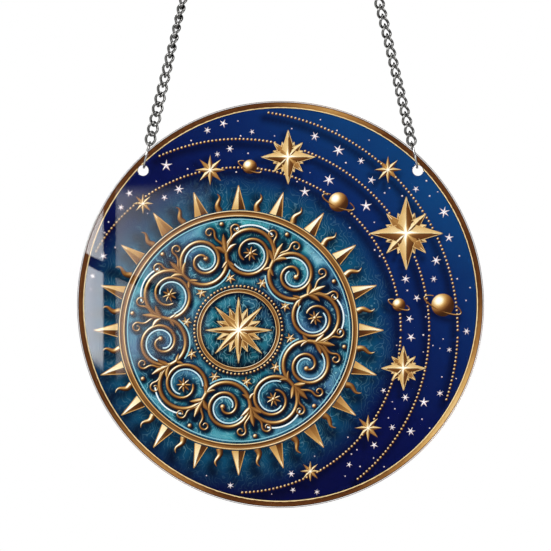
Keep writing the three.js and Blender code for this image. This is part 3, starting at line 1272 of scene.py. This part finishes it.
# distances outwards from where two circles meet, then from the sun's middle
OUTER_ROOT, TENDRIL_ROOT, INNER_ROOT = 1.4, 2.9, -1.2
VOLUTE_PLACE, TIP_PLACE, GAP_STAR_PLACE = 37.4, 39.6, 19.4
# a volute's radius, and how far to the side it lies, in degrees
VOLUTE_RADIUS, VOLUTE_ASIDE = 1.9, 7.6


def tendril(layer, start, start_way, middle, radius, way, arrive, turn, width):
    """A thin stem that leaves in one direction and winds up around a middle."""
    stop = around(middle, radius, arrive)
    reach = 1.5 * np.linalg.norm(stop - start)
    leaves, arrives = (around((0, 0), reach, at) for at in (start_way, arrive + way * 90))
    curl = arc(middle, (radius, 0.25 * radius), arrive, arrive + way * turn, step=0.35)
    whole = np.concatenate([bend(start, leaves, stop, arrives), curl[1:]])
    stroke(layer, whole, round_ended(len(whole), width, 0.55 * width, 0.04))


circles_meet = VINE_RADIUS * math.cos(math.radians(vine_step / 2))
for gap in range(VINE_CIRCLES):
    radial = VINE_START + (gap + 0.5) * vine_step
    for lean, *size in OUTER_LEAVES:
        leaf(gold, sun_place(circles_meet + OUTER_ROOT, radial), radial + lean, *size, lift=0.02)
    for side in (-1, 1):
        volute = sun_place(VOLUTE_PLACE, radial + side * VOLUTE_ASIDE)
        root = sun_place(circles_meet + TENDRIL_ROOT, radial)
        leave, arrive = radial + side * 10, radial - side * 100
        tendril(gold, root, leave, volute, VOLUTE_RADIUS, side, arrive, 400, 1.0)
    dome(gold, sun_place(TIP_PLACE, radial), 0.8)
    for lean, *size in INNER_LEAVES:
        root = sun_place(circles_meet + INNER_ROOT, radial)
        leaf(gold, root, radial + 180 + lean, *size, lift=0.02)
    faceted_star(gold, sun_place(GAP_STAR_PLACE, radial), 6, 2.1, 0.9, radial, lined=False)
print("gaps filled:", VINE_CIRCLES)

# %% [markdown]
# The sun's star has two sizes of points. It sits in a ring of beads, and a lipped gold band closes
# the medallion. Outside the band stand straight rays, folded like the star's points, with wavy
# flames between them.

# %% Draw a ray, a flame and a circle of beads
STAR_RING_RADIUS = 14.6
STAR_RING_WIDTH = 1.5
RAYS = 20
RAY_START = SUN_RADIUS + SUN_BAND + 0.35
RAY_TIP = 53.5
RAY_HALF_WIDTH = 2.4
RAY_GLOW = 0.3
RAY_EDGE = 0.3
# width and value of the lines along a ray's ridge and its sides
RAY_RIDGE = (0.24, 0.9)
RAY_SIDE = (0.26, 0.62)
FLAME_START = RAY_START - 0.2
FLAME_TIP = 51.0
FLAME_SWAY = 0.95
FLAME_WIDTH = 2.5
BEAD_RADIUS = 0.5
BEAD_PITCH = 1.45


def folded_ray(layer, way):
    """A straight ray with a ridge along its middle."""
    side = around((0, 0), 1, way + 90)
    foot, tip = sun_place(RAY_START, way), sun_place(RAY_TIP, way)
    corners = [foot - side * RAY_HALF_WIDTH, foot, foot + side * RAY_HALF_WIDTH, tip]
    depths = (GOLD_EDGE, GOLD_TOP, GOLD_EDGE, GOLD_EDGE)
    points = [(x, depth, z) for (x, z), depth in zip(corners, depths)]
    points += [(x, PICTURE_BACK, z) for x, z in corners]
    right, left = float(painted_light(RAY, -side)), float(painted_light(RAY, side))
    faces = [(0, 1, 3), (1, 2, 3), (4, 7, 5), (5, 7, 6)]
    faces += [(0, 4, 5, 1), (1, 5, 6, 2), (2, 6, 7, 3), (3, 7, 4, 0)]
    values = [[right] * 2 + [right + RAY_GLOW], [left] * 2 + [left + RAY_GLOW]]
    values += [[right] * 3, [left] * 3] + [[RAY_EDGE] * 4] * 4
    layer.add(points, faces, values, by_face=True)
    layer.lies_at([sun_place(RAY_START + 2, way), sun_place(RAY_START + 5, way)], 1.6)
    thin_line(layer, [foot, sun_place(RAY_TIP - 0.3, way)], *RAY_RIDGE, lift=LINE_LIFT)
    for corner in (corners[0], corners[2]):
        thin_line(layer, [corner, tip], *RAY_SIDE, lift=LINE_LIFT)


def flame(layer, way):
    share = np.linspace(0, 1, 18)
    sway = FLAME_SWAY * np.sin(2 * np.pi * share) * share**0.5
    line = sun_place(FLAME_START + (FLAME_TIP - FLAME_START) * share, way)
    line = line + around((0, 0), sway, way + 90)
    stroke(layer, line, 0.05 + FLAME_WIDTH * (1 - share) ** 0.75)


def bead_circle(layer, radius, is_clear=lambda place: True):
    """Beads an even pitch apart around the sun, wherever their place is clear."""
    for bead in range(int(2 * math.pi * radius / BEAD_PITCH)):
        place = sun_place(radius, math.degrees(bead * BEAD_PITCH / radius))
        if is_clear(place):
            dome(layer, place, BEAD_RADIUS, sides=9, rings=2)


# %% Draw the sun's star, bands and rays
faceted_star(gold, SUN_MIDDLE, 8, 8.6, 4.6, 22.5, glow=0.45)
faceted_star(gold, SUN_MIDDLE, 8, 12.2, 3.7, 0, glow=0.9, lift=0.1)
bead_circle(gold, STAR_RING_RADIUS + 1.65)
inner_band = circle(SUN_MIDDLE, STAR_RING_RADIUS, 120)
outer_band = circle(SUN_MIDDLE, SUN_RADIUS + SUN_BAND / 2, 260)
stroke(bands, inner_band, STAR_RING_WIDTH, LIPPED, closed=True)
stroke(bands, outer_band, SUN_BAND, LIPPED, closed=True)
thin_line(pale, arc(SUN_MIDDLE, SUN_RADIUS - 1.0, 0, 360), 0.4, 0.5)
for ray in range(RAYS):
    folded_ray(gold, 360 * ray / RAYS)
    flame(gold, 360 * (ray + 0.5) / RAYS)
print("rays and flames:", RAYS, "shapes of gold so far:", gold.shapes)

# %% [markdown]
# ## The sky's stars, planets and orbits
#
# Strings of beads run as orbits around the sun, and end clear of the disc's rim and holes. Faceted
# stars and ringed planets hang on them. Small white stars and dots are strewn over what is left, by
# a seeded draw that keeps them apart and off everything gold.

# %% Draw the orbits and what hangs on them
ORBITS = (60.0, 70.5, 81.0)
# distance from the sun's middle, direction, longest point
SKY_STARS = (
    (71.5, 30, 13.5), (66.5, 74, 10.0), (62.5, -13, 8.2), (60.0, 100, 5.6),
    (60.0, -37, 5.0), (58.5, -63, 3.8), (58.5, 127, 3.8), (81.0, 47, 5.0),
)
BIG_STAR = 7
# A big star is three stars on each other: number of points, then the longest and the shortest as
# shares of its size, turn, glow and lift.
BIG_STAR_PARTS = (
    (8, 0.6, 0.36, 112.5, 0.1, 0.0),
    (4, 1.0, 0.33, 90, 0.85, 0.08),
    (4, 0.76, 0.27, 135, 0.5, 0.05),
)
# distance, direction, radius
PLANETS = ((60.0, 52, 3.6), (76.0, 7, 4.2), (60.5, 86, 2.6), (60.0, 9, 2.4))
PLANET_TILT = -24
PLANET_RING = (1.75, 0.52)
# how far beads stay off the band, the holes' centres, and the stars and planets by their size
BEAD_TO_BAND = 1.6
BEAD_TO_HOLE = 4.4
BEAD_TO_STAR = 0.62
BEAD_TO_PLANET = 1.05


def hung_things(star_share, planet_share):
    """Where the stars and planets hang, with these shares of their sizes."""
    things = [(*thing, star_share) for thing in SKY_STARS]
    things += [(*thing, planet_share) for thing in PLANETS]
    return [(sun_place(distance, way), size * share) for distance, way, size, share in things]


def clear_for_bead(place):
    if np.linalg.norm(place) > SKY_RADIUS - BEAD_TO_BAND:
        return False
    off_things = all(math.dist(place, thing) >= reach for thing, reach in bead_limits)
    return off_things and away_from_holes(place[None], BEAD_TO_HOLE)[0]


def planet(layer, middle, radius):
    """A ball in a tilted ring, which passes in front of it below and behind it above."""

    def ring(start, stop, count):
        turn = np.radians(np.linspace(start, stop, count))
        long, short = (radius * share for share in PLANET_RING)
        along = around(middle, long * np.cos(turn), PLANET_TILT)
        return along + around((0, 0), short * np.sin(turn), PLANET_TILT + 90)

    dome(layer, middle, radius, sides=36, rings=8)
    stroke(layer, ring(-205, 25, 60), round_ended(60, 0.55, 0.55, 0.1), lift=0.05)
    stroke(layer, ring(24, 52, 10), 0.42)
    stroke(layer, ring(128, 156, 10), 0.42)


bead_limits = hung_things(BEAD_TO_STAR, BEAD_TO_PLANET)
for orbit in ORBITS:
    bead_circle(gold, orbit, clear_for_bead)
for distance, way, size in SKY_STARS:
    place = sun_place(distance, way)
    if size > BIG_STAR:
        for tips, outer, inner, turn, glow, lift in BIG_STAR_PARTS:
            faceted_star(gold, place, tips, outer * size, inner * size, turn, glow, lift=lift)
    else:
        faceted_star(gold, place, 8, size, 0.4 * size, 90, glow=0.8, lined=False)
for distance, way, radius in PLANETS:
    planet(gold, sun_place(distance, way), radius)
print("orbits:", len(ORBITS), "stars:", len(SKY_STARS), "planets:", len(PLANETS))

# %% Strew the small stars
SMALL_STARS = 42
DOTS = 60
STAR_SIZES = (1.1, 2.3)
DOT_SIZES = (0.2, 0.36)
# how far they stay off the rim's band and the rays, the orbits, the holes and one another
TO_EDGE = 0.6
TO_ORBIT = 0.7
TO_HOLE = 4.0
TO_OTHERS = 0.5
STAR_ROOM = 1.6
DOT_ROOM = 0.6
strewer = np.random.default_rng(21)
taken = hung_things(0.8, 1.6) + [(centre, TO_HOLE) for centre in hole_centres]


def is_free(place, size):
    from_sun = np.linalg.norm(place - SUN_MIDDLE)
    if np.linalg.norm(place) > SKY_RADIUS - size - TO_EDGE or from_sun < RAY_TIP + size + TO_EDGE:
        return False
    if min(abs(from_sun - orbit) for orbit in ORBITS) < size + TO_ORBIT:
        return False
    return all(math.dist(place, other) > reach + size + TO_OTHERS for other, reach in taken)


strewn = 0
while strewn < SMALL_STARS + DOTS:
    is_star = strewn < SMALL_STARS
    size = strewer.uniform(*(STAR_SIZES if is_star else DOT_SIZES))
    place = SKY_RADIUS * strewer.uniform(-1, 1, 2)
    if not is_free(place, size):
        continue
    if is_star:
        tips = int(strewer.choice([5, 6]))
        faceted_star(white, place, tips, size, 0.3 * size, strewer.uniform(0, 72), lined=False)
    else:
        dome(white, place, size, sides=8, rings=1)
    taken.append((place, size + (STAR_ROOM if is_star else DOT_ROOM)))
    strewn += 1
print("small stars:", SMALL_STARS, "dots:", DOTS)

# %% [markdown]
# ## The fields of colour
#
# The enamel and the sky are plates of fine triangles. Their corners carry two values: tone, which
# is light between the strokes and dark beside them, in a painted shade where the strokes meet it,
# and shadow, which is the soft painted dark that every stroke throws to the lower right. Both come
# from the distance to the nearest stroke.

# %% Measure distances to the strokes
gold_spine = gold.spine + bands.spine
gold_tree = tree_of([(x, y) for x, y, _ in gold_spine])
print("places along the strokes:", len(gold_spine))


def from_gold(places, shift=(0, 0)):
    """Distance from each place to the nearest stroke of gold, once that is shifted."""
    found = []
    for x, y in places - shift:
        near = gold_tree.find_n((x, y, 0), 4)
        found.append(min(distance - gold_spine[entry][2] for _, entry, distance in near))
    return np.array(found)


def lay_plate(name, flat, triangles, front, ink, values_of):
    """A closed plate of ink with the values that values_of finds for its places."""
    points = np.concatenate([in_place(flat, front), in_place(flat, FIELD_BACK)])
    stored = {key: np.tile(values, 2) for key, values in values_of(flat).items()}
    made = piece_from(name, points, closed_plate(triangles, len(flat)), ink, (3,), stored)
    on_disc(made)
    return made


# %% [markdown]
# The inks are finishes of their own. Gold runs from brown through bronze to cream by the painted
# light. Enamel runs from navy through blue and teal to turquoise by its tone, with two families of
# blue that drift across the disc, and fine engraved lines that wave through it. The sky is indigo
# below and a clearer blue towards the upper right.

# %% Choose the inks' colours
GOLD_STOPS = (
    (0.05, (0.020, 0.009, 0.004)),
    (0.24, (0.105, 0.032, 0.008)),
    (0.45, (0.34, 0.150, 0.038)),
    (0.64, (0.65, 0.375, 0.118)),
    (0.82, (0.95, 0.75, 0.41)),
    (0.93, (1.0, 0.93, 0.72)),
    (1.0, (1.0, 0.98, 0.92)),
)
BLUE_STOPS = (
    (0.0, (0.001, 0.004, 0.016)),
    (0.25, (0.005, 0.020, 0.060)),
    (0.55, (0.024, 0.080, 0.175)),
    (0.80, (0.085, 0.215, 0.350)),
    (1.0, (0.260, 0.480, 0.620)),
)
TEAL_STOPS = (
    (0.0, (0.001, 0.006, 0.012)),
    (0.25, (0.003, 0.032, 0.054)),
    (0.55, (0.012, 0.155, 0.200)),
    (0.80, (0.065, 0.380, 0.410)),
    (1.0, (0.320, 0.680, 0.680)),
)
SKY_STOPS = (
    (0.0, (0.0012, 0.0016, 0.036)),
    (0.45, (0.0016, 0.0045, 0.060)),
    (0.75, (0.0022, 0.018, 0.105)),
    (1.0, (0.0042, 0.052, 0.175)),
)
PALE_STOPS = (
    (0.3, (0.10, 0.33, 0.44)),
    (0.6, (0.32, 0.62, 0.70)),
    (0.9, (0.86, 0.93, 0.95)),
)
WHITE_STOPS = (
    (0.15, (0.42, 0.22, 0.24)),
    (0.45, (0.80, 0.66, 0.66)),
    (0.75, (0.98, 0.95, 0.95)),
    (1.0, (1.0, 1.0, 1.0)),
)
AURA = (0.004, 0.076, 0.150)
# the painted highlight and the painted shade of each engraved line
ENGRAVED_HIGHLIGHT = (0.30, 0.60, 0.66)
ENGRAVED_SHADE = (0.001, 0.010, 0.022)
ENAMEL_SHADOW = (0.0010, 0.004, 0.014)
SKY_SHADOW = (0.0006, 0.0008, 0.010)
# how fast the sky's blue clears across and up the disc, for each metre, and where it starts
SKY_RISE = 5.2
SKY_START = 0.42
print("colours of gold:", len(GOLD_STOPS), "of enamel:", len(BLUE_STOPS + TEAL_STOPS))


# %% Make the inks
def inked(name, colour_of):
    """An ink's finish. colour_of makes its colour in the material's tree."""

    def surface(tree):
        speckled = use_group(tree, ink_dots, {"Color": colour_of(tree), "Amount": 0.16})
        return principled(tree, {
            "Base Color": speckled["Color"],
            "Roughness": clouded(tree, 0.38, 0.2, 120.0),
            "Specular IOR Level": 0.05,
            "Normal": bumped(tree, speckled["Height"], 0.08, 0.00002),
        })

    return finish(name, surface)


def by_shade(stops, amount=0.14):
    """The colour that stops give to the painted light."""
    return lambda tree: ramp(tree, clouded(tree, attribute(tree, "shade"), amount, 130.0), stops)


def engraved(tree, colour, amount):
    """The colour with wavy lines in it."""
    lines = {"Light line": ENGRAVED_HIGHLIGHT, "Dark line": ENGRAVED_SHADE}
    inputs = {"Color": colour, "Amount": amount, **lines}
    return use_group(tree, engraved_waves, inputs)["Color"]


def enamel_colour(tree):
    tone = clouded(tree, attribute(tree, "tone"), 0.95, 60.0)
    family = {"Value": clouded(tree, 0.5, 4.0, 34.0)}
    family = node(tree, "ShaderNodeClamp", family).outputs["Result"]
    poured = mixed(tree, family, ramp(tree, tone, BLUE_STOPS), ramp(tree, tone, TEAL_STOPS))
    off_gold = ranged(tree, attribute(tree, "beside"), 0.3, 0.7, to_high=0.85)
    lined = engraved(tree, poured, off_gold)
    return mixed(tree, attribute(tree, "shadow"), lined, ENAMEL_SHADOW)


def sky_colour(tree):
    """Indigo to blue across the disc, with an engraved glow of teal close to the sun."""
    axes = node(tree, "ShaderNodeSeparateXYZ", {"Vector": object_place(tree)}).outputs
    across = value_of(tree, "MULTIPLY", axes["X"], SKY_RISE)
    up = value_of(tree, "SUBTRACT", axes["Z"], disc_middle.z)
    height = value_of(tree, "MULTIPLY_ADD", up, SKY_RISE, across)
    place = value_of(tree, "ADD", clouded(tree, height, 0.28, 26.0), SKY_START)
    near_sun = attribute(tree, "aura")
    aura = value_of(tree, "MULTIPLY", clouded(tree, near_sun, 0.9, 60.0), near_sun)
    glowing = mixed(tree, aura, ramp(tree, place, SKY_STOPS), AURA)
    lined = engraved(tree, glowing, value_of(tree, "MULTIPLY", aura, 0.55))
    return mixed(tree, attribute(tree, "shadow"), lined, SKY_SHADOW)


gold_ink = inked("gold ink", by_shade(GOLD_STOPS))
enamel_ink = inked("enamel ink", enamel_colour)
sky_ink = inked("night sky ink", sky_colour)
pale_ink = inked("pale blue ink", by_shade(PALE_STOPS, 0.3))
white_ink = inked("white ink", by_shade(WHITE_STOPS))
inks = (gold_ink, enamel_ink, sky_ink, pale_ink, white_ink)
print("inks made:", ", ".join(ink.name for ink in inks))

# %% Lay the enamel
ENAMEL_GRID = 0.6
ENAMEL_RADIUS = SUN_RADIUS + 0.3
ENAMEL_SHIFT = (0.55, -0.75)
# distances over which the enamel's painted shade beside gold fades, the enamel darkens around the
# sun's star, and it lies in painted shadow
SHADE_BESIDE_GOLD = (0.0, 2.1)
STAR_GROUND = (15.5, 13.5)
CLOSE_SHADOW = (-0.25, 0.75)


def enamel_values(places):
    beside = from_gold(places)
    star_ground = eased(np.linalg.norm(places - SUN_MIDDLE, axis=1), *STAR_GROUND)
    return {
        # tone: painted shade beside the gold, lighter away from it, darker around the sun's star
        "tone": 0.24 + 0.5 * eased(beside, *SHADE_BESIDE_GOLD) - 0.26 * star_ground,
        "beside": beside,
        "shadow": 0.92 * (1 - eased(from_gold(places, ENAMEL_SHIFT), *CLOSE_SHADOW)),
    }


def inside_sun(places):
    return np.linalg.norm(places - SUN_MIDDLE, axis=1) < ENAMEL_RADIUS - 0.01


rim = circle(SUN_MIDDLE, ENAMEL_RADIUS, 360)
enamel = filled([rim], inside_sun, ENAMEL_GRID)
lay_plate("enamel_field", *enamel, ENAMEL_FRONT, enamel_ink, enamel_values)

# %% Lay the sky
SKY_GRID = 0.8
SKY_SHIFT = (-1.5, -2.0)
# distances over which the sky lies in shadow, and over which the sun's glow fades
FAR_SHADOW = (-1.2, 2.6)
GLOW_FADES = (45, 64)
# keeps an outline just inside the region that it bounds
HAIR = 0.005
hole_outlines = [circle(c, print_hole_radius + HAIR, HOLE_SIDES) for c in hole_centres]


def sky_values(places):
    from_sun = np.linalg.norm(places - SUN_MIDDLE, axis=1)
    return {
        "shadow": 0.8 * (1 - eased(from_gold(places, SKY_SHIFT), *FAR_SHADOW)),
        "aura": 1 - eased(from_sun, *GLOW_FADES),
    }


def in_sky(places):
    inside = np.linalg.norm(places, axis=1) < SKY_RADIUS
    outside_sun = np.linalg.norm(places - SUN_MIDDLE, axis=1) > ENAMEL_RADIUS
    return inside & outside_sun & away_from_holes(places, print_hole_radius)


sky_outlines = [circle((0, 0), SKY_RADIUS, 480), circle(SUN_MIDDLE, ENAMEL_RADIUS + 0.01, 300)]
sky_outlines += hole_outlines
sky = filled(sky_outlines, in_sky, SKY_GRID)
night_sky = lay_plate("night_sky", *sky, SKY_FRONT, sky_ink, sky_values)
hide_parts("printed_picture")

# %% [markdown]
# The rim's band is filled with triangles like the fields, along circles that follow its lips. Its
# painted light leaves it in brown shade for the most part, with soft painted glints of gold where a
# polished ring would catch the light.

# %% Lay the rim's band
BAND_INNER = SKY_RADIUS + 0.01
# the painted shade of the band's hollow, which the gold ink turns brown
RIM_HOLLOW_SHADE = 0.22
# where across the band its inner bead is brightest, and where it ends
RIM_BEAD, RIM_BEAD_END = -0.84, -0.66
# each glint's direction from the disc's middle and how far it reaches, in degrees, and its light
RIM_GLINTS = ((-32, 42, 0.46), (232, 26, 0.24), (76, 22, 0.30))


def rim_shade(share, outward):
    """Painted light: a highlight on the bead inside, a hollow in brown shade with glints of gold,
    and a shaded edge.
    """
    direction = np.degrees(np.arctan2(outward[:, 1], outward[:, 0]))
    hollow = RIM_HOLLOW_SHADE + 0.06 * share
    for middle, reach, light in RIM_GLINTS:
        away = np.abs((direction - middle + 180) % 360 - 180)
        hollow = hollow + light * (1 - eased(away, 0, reach))
    bead = 0.86 - 0.9 * np.abs(share - RIM_BEAD)
    shade = np.where(share < RIM_BEAD_END, bead, hollow)
    return shade * (1 - 0.55 * eased(share, 0.55, 0.95))


def on_band(places):
    reach = np.linalg.norm(places, axis=1)
    inside = (reach > BAND_INNER - HAIR) & (reach < print_radius)
    return inside & away_from_holes(places, print_hole_radius)


band_width = print_radius - BAND_INNER
radii = BAND_INNER + (BAND_ACROSS + 1) / 2 * band_width
band_outlines = [circle((0, 0), radius, 480) for radius in radii] + hole_outlines
flat, triangles = filled(band_outlines, on_band)
reach = np.linalg.norm(flat, axis=1)
share = np.clip((reach - BAND_INNER) / band_width * 2 - 1, -1, 1)
depth = GOLD_EDGE + (GOLD_TOP - GOLD_EDGE) * lip_crown(share)
points = [(x, d, z) for (x, z), d in zip(flat, depth)] + [(x, PICTURE_BACK, z) for x, z in flat]
shades = np.tile(rim_shade(share, flat / reach[:, None]), 2)
bands.add(points, closed_plate(triangles, len(flat)), shades.tolist())

bands.piece("gold_bands", gold_ink, smooth=(3, 4))
gold.piece("gold_ornament", gold_ink)
pale.piece("pale_lines", pale_ink, smooth=(4, 6))
white.piece("small_stars", white_ink)

# %% [markdown]
# ## The size
#
# Both boxes, the CAD model's and the dressed model's, are printed side by side. The dressed model
# has to stay inside the CAD model's box.

# %% Print the sizes
visual_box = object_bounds()
sizes = {
    "cad": [list(corner) for corner in cad_box],
    "visual": [list(corner) for corner in visual_box],
}
for name, box in sizes.items():
    print(name, [[round(value, 4) for value in corner] for corner in box])
